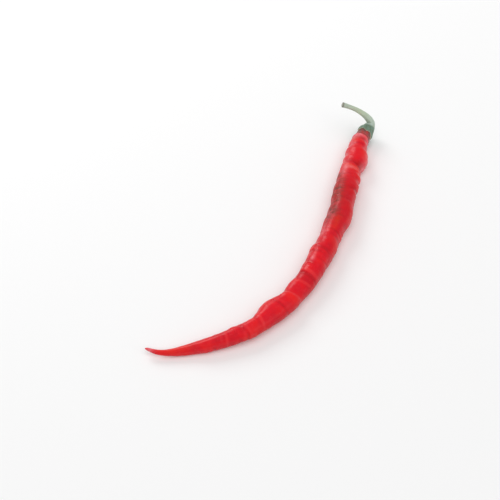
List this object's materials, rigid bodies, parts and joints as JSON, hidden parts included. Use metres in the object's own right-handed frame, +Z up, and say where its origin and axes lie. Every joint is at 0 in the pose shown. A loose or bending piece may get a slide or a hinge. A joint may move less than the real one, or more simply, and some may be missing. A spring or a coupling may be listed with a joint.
{
  "type": "curly chili pepper",
  "caption": "Long thin red curly chilli pepper lying on its side: a bent, creased and tapering pod with a green calyx and a short curved stem.",
  "frame": {"origin": "on the surface that the pepper lies on, under the middle of its bounding box", "axes": "+Z up from the surface; +X along the pod, from its tip towards its stem; +Y towards the inner side of the pod's bend"},
  "size_m": [0.1533, 0.046, 0.0176],
  "materials": {
    "pod_skin": "satin gloss",
    "calyx_and_stem": "matte"
  },
  "bodies": {
    "root": {"pod": "pod_skin", "calyx_and_stem": "calyx_and_stem"}
  },
  "joints": []
}
